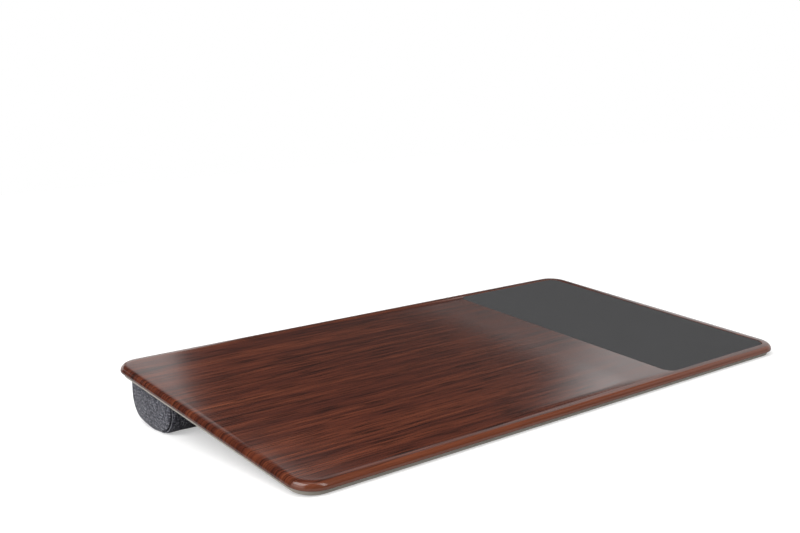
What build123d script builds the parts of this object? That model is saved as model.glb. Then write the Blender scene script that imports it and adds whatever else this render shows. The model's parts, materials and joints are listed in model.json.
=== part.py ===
from build123d import *
import os
from math import acos, atan2, cos, degrees, hypot, pi, sin, tan

# A lap desk: a wood-grain board on a pale base plate, with a mouse mat let into its right end
# and a fabric bolster under its rear edge. It stands on a table as it does in use, on the
# bolster and on the front edge of the base plate, so the board slopes down to the front.
# Lengths are in millimetres and angles in radians. +X is the user's right, +Y the back, +Z up,
# and the origin is on the table, under the middle of the board.

# Board: a fibreboard core under a wood-grain foil
board_width = 580.0
board_depth = 320.0
board_corner_radius = 22.0
board_thickness = 5.8
edge_roll_radius = 5.0
edge_under_radius = 0.6
foil_thickness = 0.4

# Base plate under the board
base_thickness = 4.6
base_inset = 3.5
base_edge_radius = 0.8

# Mouse mat, let into the top at the right end
mat_width = 154.0
mat_depth = 300.0
mat_corner_radius = 11.0
mat_right_margin = 11.5
mat_front_margin = 9.0
mat_cloth_thickness = 0.5
mat_rubber_thickness = 1.2
mat_gap = 0.4
mat_recess = 0.15

# Countersunk screws, driven up through the base plate into the board
screw_columns = 4
screw_rows = 2
screw_side_inset = 30.0
screw_edge_inset = 30.0
screw_head_diameter = 5.2
screw_head_angle = pi / 2
screw_shank_diameter = 2.6
screw_bite = 2.6
screw_tip_room = 0.4
screw_clearance = 0.1
screw_drive_width = 0.8
screw_drive_length = 2.8
screw_drive_depth = 0.7

# Hook tape on the base plate and loop tape on the bolster
strip_count = 3
strip_length = 110.0
strip_gap = 70.0
strip_width = 25.0
hook_thickness = 1.2
loop_thickness = 1.2

# Bolster: foam in a sewn cover with a flat top, a rounded heel and toe, and a flat sole
bolster_end_margin = 9.5
bolster_depth = 88.0
bolster_back_margin = 9.0
bolster_drop = 41.0
sole_setback = 39.0
sole_radius = 60.0
heel_drop = 38.0
heel_radius = 19.0
toe_radius = 24.0
cover_thickness = 1.2
cover_ease = 0.3
top_panel_thickness = 1.0
end_draw_length = 3.0
end_draw_back = 12.8
end_draw_rim = 1.6
end_crown = 2.4
end_crown_margin = 12.0
end_steps = 3

# Zip in the back of the bolster's cover
zip_end_margin = 60.5
zip_tape_width = 7.0
zip_tape_thickness = 0.5
zip_tape_tail = 8.0
zip_teeth_width = 2.6
zip_teeth_height = 2.0
zip_teeth_gap = 0.8
zip_stop_length = 4.0
zip_clearance = 0.35

# Zip slider, with a bail over its outer plate that the pull tab swings on
slider_length = 12.0
slider_plate = 1.2
slider_corner_radius = 2.5
slider_flange = 0.8
slider_neck_length = 5.0
slider_neck_clearance = 0.2
bail_length = 8.0
bail_width = 2.2
bail_post = 1.3
bail_bridge = 1.0
pull_length = 26.0
pull_thickness = 1.6
pull_arm_width = 1.8
pull_bar_diameter = 1.4
pull_tip_radius = 2.4
pull_clearance = 0.3

# Every cut runs this far past what it cuts
overrun = 1.0

# Places in the board's own axes, from the middle of the base plate's underside
board_underside = base_thickness
board_face = base_thickness + board_thickness
mat_pocket_depth = mat_cloth_thickness + mat_rubber_thickness + mat_recess
mat_x = board_width / 2 - mat_right_margin - mat_width / 2
mat_y = -board_depth / 2 + mat_front_margin + mat_depth / 2
bolster_length = board_width - 2 * bolster_end_margin
bolster_back = board_depth / 2 - bolster_back_margin
bolster_front = bolster_back - bolster_depth
bolster_middle = (bolster_back + bolster_front) / 2
bolster_top = -hook_thickness - loop_thickness
cover_top = bolster_top - top_panel_thickness
cover_half_length = bolster_length / 2 - end_crown
sole_y = bolster_back - sole_setback

# The slope at which the sole and the front edge of the base plate both touch the table
front_edge_y = -board_depth / 2 + base_inset + base_edge_radius
sole_run = sole_y - front_edge_y
sole_reach = bolster_drop + base_edge_radius
tilt = acos(base_edge_radius / hypot(sole_run, sole_reach)) - atan2(sole_run, sole_reach)

# The board's own axes, placed so that the part stands on the table about the origin
deck_height = base_edge_radius - base_edge_radius * cos(tilt) - front_edge_y * sin(tilt)
roll_y = -board_depth / 2 + edge_roll_radius
roll_z = board_face - edge_roll_radius
front_reach = roll_y * cos(tilt) - roll_z * sin(tilt) - edge_roll_radius
under_y = board_depth / 2 - edge_under_radius
under_z = board_underside + edge_under_radius
rear_reach = under_y * cos(tilt) - under_z * sin(tilt) + edge_under_radius
deck = Plane(
    origin=(0, -(front_reach + rear_reach) / 2, deck_height),
    x_dir=(1, 0, 0),
    z_dir=(0, -sin(tilt), cos(tilt)),
)
up_from_deck = Axis(deck.origin, deck.z_dir)


def across(x):
    """The plane square to the board's length at x: its axes are the board's depth and height."""
    return Plane(deck.from_local_coords((x, 0, 0)), x_dir=deck.y_dir, z_dir=deck.x_dir)


def save(piece, name):
    """Label a finished piece and write it to its own file."""
    piece.part.label = name
    export_step(piece.part, f"parts/{name}.step")


os.makedirs("parts", exist_ok=True)


# Board core before it is drilled: its edge is rolled over, and its pocket takes the foil and the mat
with BuildPart() as core_blank:
    with BuildSketch(deck.offset(board_underside)):
        RectangleRounded(
            board_width - 2 * foil_thickness,
            board_depth - 2 * foil_thickness,
            board_corner_radius - foil_thickness,
        )
    extrude(amount=board_thickness - foil_thickness)
    top_rim = core_blank.faces().sort_by(up_from_deck)[-1].edges()
    fillet(top_rim, radius=edge_roll_radius - foil_thickness)
    bottom_rim = core_blank.faces().sort_by(up_from_deck)[0].edges()
    fillet(bottom_rim, radius=edge_under_radius - foil_thickness)
    with BuildSketch(deck.offset(board_face - foil_thickness)):
        with Locations((mat_x, mat_y)):
            RectangleRounded(
                mat_width + 2 * mat_gap + 2 * foil_thickness,
                mat_depth + 2 * mat_gap + 2 * foil_thickness,
                mat_corner_radius + mat_gap + foil_thickness,
            )
    extrude(amount=-mat_pocket_depth, mode=Mode.SUBTRACT)

# Foil: pressed over the core's top, its rolled edge and its pocket
with BuildPart() as wood_grain_foil:
    with BuildSketch(deck.offset(board_underside)):
        RectangleRounded(board_width, board_depth, board_corner_radius)
    extrude(amount=board_thickness)
    top_rim = wood_grain_foil.faces().sort_by(up_from_deck)[-1].edges()
    fillet(top_rim, radius=edge_roll_radius)
    bottom_rim = wood_grain_foil.faces().sort_by(up_from_deck)[0].edges()
    fillet(bottom_rim, radius=edge_under_radius)
    with BuildSketch(deck.offset(board_face)):
        with Locations((mat_x, mat_y)):
            RectangleRounded(
                mat_width + 2 * mat_gap,
                mat_depth + 2 * mat_gap,
                mat_corner_radius + mat_gap,
            )
    extrude(amount=-mat_pocket_depth, mode=Mode.SUBTRACT)
    add(core_blank.part, mode=Mode.SUBTRACT)
save(wood_grain_foil, "wood_grain_foil")


def mat_layer(lower_face, thickness):
    """One layer of the mouse mat, lying in the board's pocket."""
    with BuildPart() as layer:
        with BuildSketch(deck.offset(lower_face)):
            with Locations((mat_x, mat_y)):
                RectangleRounded(mat_width, mat_depth, mat_corner_radius)
        extrude(amount=thickness)
    return layer


pocket_floor = board_face - mat_pocket_depth
save(mat_layer(pocket_floor, mat_rubber_thickness), "mouse_mat_rubber")
save(mat_layer(pocket_floor + mat_rubber_thickness, mat_cloth_thickness), "mouse_mat_cloth")

# Screws and their holes stand on one grid
screw_pitch_x = (board_width - 2 * screw_side_inset) / (screw_columns - 1)
screw_pitch_y = (board_depth - 2 * screw_edge_inset) / (screw_rows - 1)
screw_head_radius = screw_head_diameter / 2
screw_shank_radius = screw_shank_diameter / 2
screw_head_depth = (screw_head_radius - screw_shank_radius) / tan(screw_head_angle / 2)
screw_length = base_thickness + screw_bite
from_below = Plane(deck.origin, x_dir=deck.x_dir, z_dir=-deck.z_dir)

with BuildPart() as top_board:
    add(core_blank.part)
    with BuildSketch(deck.offset(board_underside)):
        with GridLocations(screw_pitch_x, screw_pitch_y, screw_columns, screw_rows):
            Circle(screw_shank_radius + screw_clearance)
    extrude(amount=screw_bite + screw_tip_room, mode=Mode.SUBTRACT)
save(top_board, "top_board")

with BuildPart() as base_plate:
    with BuildSketch(deck):
        RectangleRounded(
            board_width - 2 * base_inset,
            board_depth - 2 * base_inset,
            board_corner_radius - base_inset,
        )
    extrude(amount=base_thickness)
    bottom_rim = base_plate.faces().sort_by(up_from_deck)[0].edges()
    fillet(bottom_rim, radius=base_edge_radius)
    with Locations(from_below):
        with GridLocations(screw_pitch_x, screw_pitch_y, screw_columns, screw_rows):
            CounterSinkHole(
                radius=screw_shank_radius + screw_clearance,
                counter_sink_radius=screw_head_radius + screw_clearance,
                depth=base_thickness,
                counter_sink_angle=degrees(screw_head_angle),
            )
save(base_plate, "base_plate")

with BuildPart() as screw:
    with BuildSketch(Plane.XZ):
        with BuildLine():
            Polyline(
                (0, 0),
                (screw_head_radius, 0),
                (screw_shank_radius, screw_head_depth),
                (screw_shank_radius, screw_length - screw_shank_radius),
                (0, screw_length),
                close=True,
            )
        make_face()
    revolve(axis=Axis.Z)
    with BuildSketch():
        Rectangle(screw_drive_length, screw_drive_width)
        Rectangle(screw_drive_width, screw_drive_length)
    extrude(amount=screw_drive_depth, mode=Mode.SUBTRACT)

with BuildPart() as base_screws:
    with Locations(deck):
        with GridLocations(screw_pitch_x, screw_pitch_y, screw_columns, screw_rows):
            add(screw.part)
save(base_screws, "base_screws")


def fastening_strips(top, thickness):
    """A row of tape strips along the bolster, hanging down from the given height."""
    with BuildPart() as strips:
        with BuildSketch(deck.offset(top)):
            with Locations((0, bolster_middle)):
                with GridLocations(strip_length + strip_gap, 0, strip_count, 1):
                    Rectangle(strip_length, strip_width)
        extrude(amount=-thickness)
    return strips


save(fastening_strips(0, hook_thickness), "hook_strips")
save(fastening_strips(-hook_thickness, loop_thickness), "loop_strips")


def table_line(y):
    """How high the table is at a depth y, in the board's own axes."""
    return -bolster_drop - (y - sole_y) * tan(tilt)


def bolster_section(x, draw_back, draw_rim, inset):
    """The bolster's outline at x, drawn in at its back and its rim, then shrunk by inset."""
    back = bolster_back - draw_back
    front = bolster_front + draw_rim
    sole_back = back - sole_setback
    rise = draw_rim / cos(tilt)
    with BuildSketch(across(x)) as section:
        with BuildLine():
            Polyline(
                (back, 0),
                (back, draw_rim - heel_drop),
                (sole_back, table_line(sole_back) + rise),
                (front, table_line(front) + rise),
                (front, 0),
                close=True,
            )
        make_face()
        fillet(section.vertices().sort_by(Axis.Y)[0], radius=sole_radius)
        fillet(section.vertices().group_by(Axis.X)[0].sort_by(Axis.Y)[0], radius=toe_radius)
        fillet(section.vertices().group_by(Axis.X)[-1].sort_by(Axis.Y)[0], radius=heel_radius)
        if inset:
            offset(amount=-inset)
    return section.sketch


def bolster_form(inset):
    """The whole bolster up to the base plate, rounded in at both ends and shrunk by inset."""
    stations = []
    for step in range(end_steps + 1):
        turn = pi / 2 * step / end_steps
        run_in = (end_draw_length - inset) * (1 - cos(turn))
        draw_share = 1 - sin(turn)
        x = cover_half_length - inset - run_in
        stations.append((x, draw_share * end_draw_back, draw_share * end_draw_rim))
    left = [bolster_section(-x, back, rim, inset) for x, back, rim in stations]
    right = [bolster_section(x, back, rim, inset) for x, back, rim in reversed(stations)]
    with BuildPart() as form:
        loft(left + right, ruled=True)
    return form.part


def end_panel(side):
    """The D-shaped panel sewn into one end, swollen outwards by the foam behind it."""
    seam_x = side * cover_half_length
    seam = bolster_section(seam_x, end_draw_back, end_draw_rim, 0)
    swell = []
    for step in range(end_steps + 1):
        turn = pi / 2 * step / end_steps
        x = seam_x + side * end_crown * sin(turn)
        swell.append(bolster_section(x, end_draw_back, end_draw_rim, end_crown_margin * (1 - cos(turn))))
    with BuildPart() as panel:
        extrude(seam, amount=-side * cover_thickness)
        loft(swell, ruled=True)
        split(bisect_by=deck.offset(bolster_top), keep=Keep.BOTTOM)
    return panel


cushion_end_left = end_panel(-1)
cushion_end_right = end_panel(1)
save(cushion_end_left, "cushion_end_left")
save(cushion_end_right, "cushion_end_right")

# Where the zip's layers lie, from the foam outwards, and the line that its teeth follow
cover_inside = bolster_back - cover_thickness
tape_inside = cover_inside - zip_tape_thickness
slider_inside = tape_inside - zip_clearance - slider_plate
teeth_outside = cover_inside + zip_teeth_height
slider_outside = teeth_outside + zip_clearance + slider_plate
zip_half_chain = zip_teeth_gap / 2 + zip_teeth_width
zip_half_slot = zip_half_chain + slider_flange + 2 * zip_clearance
zip_line = cover_top - cover_ease - zip_tape_width - zip_teeth_gap / 2
zip_length = bolster_length - 2 * zip_end_margin
zip_half_length = zip_length / 2

# Foam: it stops short of the cover, with a channel behind the zip for the slider's inner plate
with BuildPart() as cushion_foam:
    add(bolster_form(cover_thickness + cover_ease))
    split(bisect_by=deck.offset(cover_top - cover_ease), keep=Keep.BOTTOM)
    channel_floor = slider_inside - zip_clearance
    channel_bottom = zip_line - zip_teeth_gap / 2 - zip_tape_width - cover_ease
    with BuildSketch(across(0)):
        with Locations((channel_floor, channel_bottom)):
            Rectangle(
                bolster_back - channel_floor,
                -channel_bottom,
                align=(Align.MIN, Align.MIN),
            )
    extrude(
        amount=zip_half_length + zip_tape_tail + cover_ease,
        both=True,
        mode=Mode.SUBTRACT,
    )
save(cushion_foam, "cushion_foam")

# Top panel: lining cloth between the two ends, with the loop tape sewn to it
with BuildPart() as cushion_top_panel:
    add(bolster_form(0))
    add(cushion_end_left.part, mode=Mode.SUBTRACT)
    add(cushion_end_right.part, mode=Mode.SUBTRACT)
    split(bisect_by=deck.offset(bolster_top), keep=Keep.BOTTOM)
    split(bisect_by=deck.offset(cover_top), keep=Keep.TOP)
save(cushion_top_panel, "cushion_top_panel")

# Cover: one panel round the back, the underside and the front, with a slot for the zip
with BuildPart() as cushion_body_cover:
    add(bolster_form(0))
    add(bolster_form(cover_thickness), mode=Mode.SUBTRACT)
    add(cushion_end_left.part, mode=Mode.SUBTRACT)
    add(cushion_end_right.part, mode=Mode.SUBTRACT)
    split(bisect_by=deck.offset(cover_top), keep=Keep.BOTTOM)
    with BuildSketch(across(0)):
        with Locations((cover_inside - overrun, zip_line)):
            Rectangle(
                cover_thickness + 2 * overrun,
                2 * zip_half_slot,
                align=(Align.MIN, Align.CENTER),
            )
    extrude(
        amount=zip_half_length + zip_stop_length + zip_clearance,
        both=True,
        mode=Mode.SUBTRACT,
    )
save(cushion_body_cover, "cushion_body_cover")


def zip_bar(inside, outside, near, far, half_length):
    """A straight bar along the zip, between two depths and two heights from the zip's line."""
    with BuildPart() as bar:
        with BuildSketch(across(0)):
            with Locations(((inside + outside) / 2, zip_line + (near + far) / 2)):
                Rectangle(outside - inside, abs(far - near))
        extrude(amount=half_length, both=True)
    return bar


for row_name, row_side in (("upper", 1), ("lower", -1)):
    inner_edge = row_side * zip_teeth_gap / 2
    tape_edge = inner_edge + row_side * zip_tape_width
    teeth_edge = inner_edge + row_side * zip_teeth_width
    tape = zip_bar(tape_inside, cover_inside, inner_edge, tape_edge, zip_half_length + zip_tape_tail)
    teeth = zip_bar(cover_inside, teeth_outside, inner_edge, teeth_edge, zip_half_length)
    save(tape, f"zip_tape_{row_name}")
    save(teeth, f"zip_teeth_{row_name}")


def behind(y):
    """The plane that faces the back at depth y, about the zip's line: right is the user's left."""
    return Plane(deck.from_local_coords((0, y, zip_line)), x_dir=-deck.x_dir, z_dir=deck.y_dir)


with BuildPart() as zip_stops:
    with BuildSketch(behind(cover_inside)):
        with GridLocations(zip_length + zip_stop_length, 0, 2, 1):
            Rectangle(zip_stop_length, 2 * zip_half_chain)
    extrude(amount=zip_teeth_height)
save(zip_stops, "zip_stops")

# Slider: at rest it is at the right end, with the zip closed
slider_u = -(zip_half_length - slider_length / 2 - zip_clearance)
slider_half_width = zip_half_chain + zip_clearance + slider_flange
pull_axis_y = slider_outside + pull_clearance + pull_thickness / 2
bail_opening = pull_axis_y + pull_bar_diameter / 2 + pull_clearance - slider_outside
bail_height = bail_opening + bail_bridge

with BuildPart() as zip_slider:
    with BuildSketch(behind(slider_outside - slider_plate)):
        with Locations((slider_u, 0)):
            RectangleRounded(slider_length, 2 * slider_half_width, slider_corner_radius)
    extrude(amount=slider_plate)
    with BuildSketch(behind(cover_inside + zip_clearance)):
        with Locations((slider_u, 0)):
            Rectangle(slider_length - 2 * slider_corner_radius, 2 * slider_half_width)
            Rectangle(
                slider_length,
                2 * (zip_half_chain + zip_clearance),
                mode=Mode.SUBTRACT,
            )
    extrude(amount=zip_teeth_height)
    with BuildSketch(behind(slider_inside)):
        with Locations((slider_u, 0)):
            RectangleRounded(slider_length, 2 * slider_half_width, slider_corner_radius)
    extrude(amount=slider_plate)
    with BuildSketch(behind(slider_inside)):
        with Locations((slider_u, 0)):
            Rectangle(slider_neck_length, zip_teeth_gap - 2 * slider_neck_clearance)
    extrude(amount=slider_outside - slider_inside)
    with BuildSketch(behind(slider_outside)):
        with Locations((slider_u, 0)):
            Rectangle(bail_length, bail_width)
    extrude(amount=bail_height)
    bail_corners = zip_slider.faces().sort_by(Axis(deck.origin, deck.y_dir))[-1].edges()
    fillet(bail_corners.filter_by(Axis(deck.origin, deck.z_dir)), radius=bail_bridge)
    with BuildSketch(behind(slider_outside)):
        with Locations((slider_u, 0)):
            Rectangle(bail_length - 2 * bail_post, bail_width)
    extrude(amount=bail_opening, mode=Mode.SUBTRACT)
save(zip_slider, "zip_slider")

# Pull tab: its bar lies in the bail, and at rest the tab lies along the teeth
pull_half_width = bail_width / 2 + pull_clearance + pull_arm_width
pull_window = bail_length / 2 + pull_clearance
with BuildPart() as zip_pull:
    with BuildSketch(behind(pull_axis_y - pull_thickness / 2)) as tab:
        with Locations((slider_u, 0)):
            Rectangle(pull_length, 2 * pull_half_width, align=(Align.MIN, Align.CENTER))
        fillet(tab.vertices().group_by(Axis.X)[-1], radius=pull_tip_radius)
        with Locations((slider_u, 0)):
            Rectangle(
                pull_window,
                bail_width + 2 * pull_clearance,
                align=(Align.MIN, Align.CENTER),
                mode=Mode.SUBTRACT,
            )
    extrude(amount=pull_thickness)
    with BuildSketch(deck.offset(zip_line)):
        with Locations((-slider_u, pull_axis_y)):
            Circle(pull_bar_diameter / 2)
    extrude(amount=pull_half_width, both=True)
save(zip_pull, "zip_pull")
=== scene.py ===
import json
from math import acos, cos, hypot, pi, radians, sin, tan

import bmesh
import bpy
from mathutils import Matrix, Vector
from mathutils.bvhtree import BVHTree


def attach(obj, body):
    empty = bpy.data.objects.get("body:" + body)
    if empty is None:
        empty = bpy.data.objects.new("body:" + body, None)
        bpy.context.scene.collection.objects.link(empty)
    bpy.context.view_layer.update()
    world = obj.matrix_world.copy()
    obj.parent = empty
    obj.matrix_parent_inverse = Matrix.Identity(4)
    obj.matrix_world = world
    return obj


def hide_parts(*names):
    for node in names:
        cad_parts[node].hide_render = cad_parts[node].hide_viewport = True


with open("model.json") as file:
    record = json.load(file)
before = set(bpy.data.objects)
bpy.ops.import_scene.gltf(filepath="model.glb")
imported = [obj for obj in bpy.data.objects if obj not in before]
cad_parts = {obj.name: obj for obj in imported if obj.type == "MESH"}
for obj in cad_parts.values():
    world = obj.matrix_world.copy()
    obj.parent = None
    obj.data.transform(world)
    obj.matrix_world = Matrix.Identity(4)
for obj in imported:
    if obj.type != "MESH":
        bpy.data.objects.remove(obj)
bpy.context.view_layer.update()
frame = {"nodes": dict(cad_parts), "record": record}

# Board core: a panel of raw fibreboard, rolled over at its upper edge and milled with a shallow
# pocket for the mouse mat. The foil covers it, so that only a hairline shows above the base plate.
work_surface = next(mount for mount in frame["record"]["mounts"] if mount["name"] == "work_surface")
board_up = Vector(work_surface["axis"])
board_middle = Vector((0, *work_surface["pos_m"][1:]))
board_turn = Matrix(((1, 0, 0), (0, board_up.z, board_up.y), (0, -board_up.y, board_up.z)))
# The board slopes up to the back. Pieces are drawn in its own axes, which start at the middle of
# its upper face, and this matrix turns them into place.
board = Matrix.Translation(board_middle) @ board_turn.to_4x4()


def linear(code):
    """An sRGB hex colour as linear red, green, blue and alpha."""
    shares = [int(code[start:start + 2], 16) / 255 for start in (0, 2, 4)]
    return [s / 12.92 if s <= 0.04045 else ((s + 0.055) / 1.055) ** 2.4 for s in shares] + [1]


def add(tree, kind, inputs=None, stops=None, **settings):
    """Add a node: set its properties, fill or link its inputs, and return its outputs."""
    made = tree.nodes.new(kind)
    for name, value in settings.items():
        setattr(made, name, value)
    for socket, value in (inputs or {}).items():
        if isinstance(value, bpy.types.NodeSocket):
            tree.links.new(value, made.inputs[socket])
        else:
            made.inputs[socket].default_value = value
    for number, (position, colour) in enumerate(stops or ()):
        marks = made.color_ramp.elements
        mark = marks[number] if number < len(marks) else marks.new(position)
        mark.position = position
        mark.color = colour
    return made.outputs


def new_finish(name, constants):
    """A material whose shader has its constant inputs set, and its node tree."""
    made = bpy.data.materials.new(name)
    made.use_nodes = True
    for socket, value in constants.items():
        made.node_tree.nodes["Principled BSDF"].inputs[socket].default_value = value
    return made, made.node_tree


def paint(tree, colour, roughness, relief=None):
    """Link a finish's colour, its roughness and its relief, where it has one, to its shader."""
    shader = tree.nodes["Principled BSDF"]
    tree.links.new(colour, shader.inputs["Base Color"])
    tree.links.new(roughness, shader.inputs["Roughness"])
    if relief:
        tree.links.new(relief, shader.inputs["Normal"])


def dress(node, finish):
    """Give a CAD node that is kept as it is its finish."""
    frame["nodes"][node].data.materials.clear()
    frame["nodes"][node].data.materials.append(finish)


def cloudy_finish(name, constants, cloud, detail, stops, smooth, rough):
    """A finish whose colour and roughness vary together, in clouds of one size."""
    made, tree = new_finish(name, constants)
    place = add(tree, "ShaderNodeTexCoord")["Object"]
    clouds = add(tree, "ShaderNodeTexNoise", {"Vector": place, "Scale": 1 / cloud, "Detail": detail})["Fac"]
    colour = add(tree, "ShaderNodeValToRGB", {"Fac": clouds}, stops)["Color"]
    shine = add(tree, "ShaderNodeMapRange", {"Value": clouds, "To Min": smooth, "To Max": rough})["Result"]
    paint(tree, colour, shine)
    return made


# Raw fibreboard: pressed wood dust, matt, with short pale and dark fibres
fibre_length = 0.004
fibre_stops = [(0.35, linear("7d5f3a")), (0.65, linear("b48f5e"))]
fibre_finish = cloudy_finish(
    "raw_fibreboard", {"IOR": 1.45}, fibre_length, detail=6, stops=fibre_stops, smooth=0.8, rough=0.95
)
dress("top_board", fibre_finish)

# Wood-grain foil: a printed and lacquered plastic sheet, pressed hot over the core's face and
# its rolled edge, and down into the pocket for the mouse mat. The print runs along the board and
# turns down over the edge with the sheet.
corner_radius = 0.022
corner_steps = 14
roll_radius = 0.005
roll_steps = 8
roll_turn = radians(72)
run_out = 0.009
under_radius = 0.0006
under_steps = 4
foil_gauge = 0.0003
pocket_gap = 0.0004
pocket_lip = 0.0003
pocket_corner = 0.0114


def lies(node):
    """The lowest and highest corners of a CAD node in the board's own axes."""
    flatten = board.inverted()
    points = [flatten @ vertex.co for vertex in frame["nodes"][node].data.vertices]
    return Vector(map(min, zip(*points))), Vector(map(max, zip(*points)))


def rounded_outline(low, high, radius):
    """Points round a rectangle with rounded corners, each with the direction that is outwards."""
    outline = []
    for right, back, start in ((1, 1, 0), (0, 1, 90), (0, 0, 180), (1, 0, 270)):
        corner = Vector((
            high.x - radius if right else low.x + radius,
            high.y - radius if back else low.y + radius,
        ))
        for step in range(corner_steps + 1):
            turn = radians(start + 90 * step / corner_steps)
            outward = Vector((cos(turn), sin(turn)))
            outline.append((corner + outward * radius, outward))
    return outline


def ring_of(shape, outline, inset, height):
    """A closed ring of vertices, inside an outline by inset and at a height."""
    return [shape.verts.new((*(at - outward * inset), height)) for at, outward in outline]


def skin(shape, rings):
    """Quads from each closed ring to the next, which face outwards where the next lies further in."""
    faces = []
    for ring, following in zip(rings, rings[1:]):
        for k in range(len(ring)):
            ahead = (k + 1) % len(ring)
            faces.append(shape.faces.new((ring[k], ring[ahead], following[ahead], following[k])))
    return faces


def fill_between(shape, outer, inner, **settings):
    """Close the flat face between two rings with triangles."""
    rims = [set(outer), set(inner)]
    rim_edges = [edge for edge in shape.edges if any(set(edge.verts) <= rim for rim in rims)]
    bmesh.ops.triangle_fill(shape, edges=rim_edges, use_beauty=True, **settings)


def map_sheet(shape, places):
    """Give each vertex its place on the flat sheet, in metres, as a map named sheet."""
    layer = shape.loops.layers.uv.new("sheet")
    for face in shape.faces:
        for corner in face.loops:
            corner[layer].uv = places[corner.vert]


def mesh_of(shape, name):
    """A mesh from a finished bmesh."""
    mesh = bpy.data.meshes.new(name)
    shape.to_mesh(mesh)
    shape.free()
    return mesh


def make_piece(name, mesh, finish, sharp_angle=40):
    """Turn a mesh that is drawn in the board's own axes into place, as one object of the part."""
    mesh.transform(board)
    mesh.materials.clear()
    mesh.materials.append(finish)
    mesh.shade_smooth()
    mesh.set_sharp_from_angle(angle=radians(sharp_angle))
    made = bpy.data.objects.new(name, mesh)
    bpy.context.scene.collection.objects.link(made)
    return made


def thicken(piece, gauge):
    """Give a sheet its thickness, inwards from the side that shows."""
    thickness = piece.modifiers.new("thickness", "SOLIDIFY")
    thickness.thickness = gauge
    thickness.offset = -1


foil_low, foil_high = lies("wood_grain_foil")
mat_low, mat_high = lies("mouse_mat_cloth")
rubber_low, rubber_high = lies("mouse_mat_rubber")
foil_profile = []
for step in range(under_steps + 1):
    turn = pi / 2 * step / under_steps
    foil_profile.append((under_radius * (1 - sin(turn)), foil_low.z + under_radius * (1 - cos(turn))))
for step in range(roll_steps + 1):
    turn = roll_turn * step / roll_steps
    foil_profile.append((roll_radius * (1 - cos(turn)), roll_radius * (sin(turn) - 1)))
foil_profile.append((run_out, 0))

foil_shape = bmesh.new()
foil_places = {}
foil_rings = []
board_outline = rounded_outline(foil_low, foil_high, corner_radius)
for number, (inset, height) in enumerate(foil_profile):
    ring = ring_of(foil_shape, board_outline, inset, height)
    beyond_flat = sum(
        hypot(b[0] - a[0], b[1] - a[1]) for a, b in zip(foil_profile[number:], foil_profile[number + 1:])
    )
    for vertex, (at, outward) in zip(ring, board_outline):
        foil_places[vertex] = at + outward * (beyond_flat - run_out)
    foil_rings.append(ring)
skin(foil_shape, foil_rings)

pocket_margin = Vector((pocket_gap, pocket_gap, 0))
pocket_outline = rounded_outline(mat_low - pocket_margin, mat_high + pocket_margin, pocket_corner)
pocket_profile = [(-pocket_lip, 0), (-pocket_lip / 3, -pocket_lip / 3), (0, -pocket_lip), (0, rubber_low.z)]
pocket_rings = [ring_of(foil_shape, pocket_outline, inset, height) for inset, height in pocket_profile]
for ring in pocket_rings:
    for vertex in ring:
        foil_places[vertex] = vertex.co.xy
skin(foil_shape, pocket_rings)
foil_shape.faces.new(pocket_rings[-1])
fill_between(foil_shape, foil_rings[-1], pocket_rings[0], normal=(0, 0, 1))
map_sheet(foil_shape, foil_places)

# Printed foil: dark red-brown wood figure under a satin lacquer, which mirrors pale surroundings
# at a low angle. Dark growth lines wander along the board, each of its own strength and sharp on
# one side, with bands, streaks and short pores between them. Real pores are 0.2 mm wide and a few
# millimetres long, which is too fine to show, so they are drawn seven times as large.
growth_spacing = 0.007
growth_wander = 0.085
ripple_shift = 0.008
bunch_width = 0.030
bunch_shift = 0.030
streak_share = 0.5
pore_depth = 0.85
most_even = 0.65
line_ink = linear("220d06")
even_wood = linear("733f2a")
wood_stops = [
    (0.34, linear("381810")), (0.44, linear("482015")), (0.52, linear("552819")),
    (0.60, linear("61301e")), (0.68, linear("6f3c27")),
]
line_stops = [
    (0.0, linear("ffffff")), (0.1, linear("f0f0f0")), (0.2, linear("909090")),
    (0.4, linear("000000")), (0.92, linear("000000")), (1.0, linear("808080")),
]
pore_stops = [(0.36, linear("645450")), (0.50, linear("ffffff"))]
foil_finish, tree = new_finish("printed_wood_grain_foil", {"IOR": 1.5, "Specular IOR Level": 0.5})
sheet = add(tree, "ShaderNodeUVMap", uv_map="sheet")["UV"]
# Each kind of mark is noise drawn out along the sheet, to its own length, width and detail
marks = {}
for mark, length, width, detail in (
    ("wander", 0.60, 0.20, 1), ("ripple", 0.10, 0.04, 2), ("break", 0.22, 0.012, 2),
    ("band", 0.30, 0.016, 3), ("streak", 0.20, 0.004, 3), ("pore", 0.042, 0.0014, 2),
):
    drawn = add(tree, "ShaderNodeMapping", {"Vector": sheet, "Scale": (1 / length, 1 / width, 1)})["Vector"]
    marks[mark] = add(tree, "ShaderNodeTexNoise", {"Vector": drawn, "Scale": 1, "Detail": detail})["Fac"]
growth = add(tree, "ShaderNodeSeparateXYZ", {"Vector": sheet})["Y"]
for mark, shift in (("wander", growth_wander), ("ripple", ripple_shift)):
    growth = add(
        tree, "ShaderNodeMath", {0: marks[mark], 1: shift, 2: growth}, operation="MULTIPLY_ADD"
    )["Value"]
bunches = add(
    tree, "ShaderNodeTexNoise", {"W": growth, "Scale": 1 / bunch_width, "Detail": 2}, noise_dimensions="1D"
)["Fac"]
growth = add(
    tree, "ShaderNodeMath", {0: bunches, 1: bunch_shift, 2: growth}, operation="MULTIPLY_ADD"
)["Value"]
growth = add(tree, "ShaderNodeMath", {0: growth, 1: growth_spacing}, operation="DIVIDE")["Value"]
line = add(tree, "ShaderNodeMath", {0: growth}, operation="FRACT")["Value"]
line_number = add(tree, "ShaderNodeMath", {0: growth}, operation="FLOOR")["Value"]
line_share = add(tree, "ShaderNodeValToRGB", {"Fac": line}, line_stops)["Color"]
line_chance = add(tree, "ShaderNodeTexWhiteNoise", {"W": line_number}, noise_dimensions="1D")["Value"]
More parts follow.
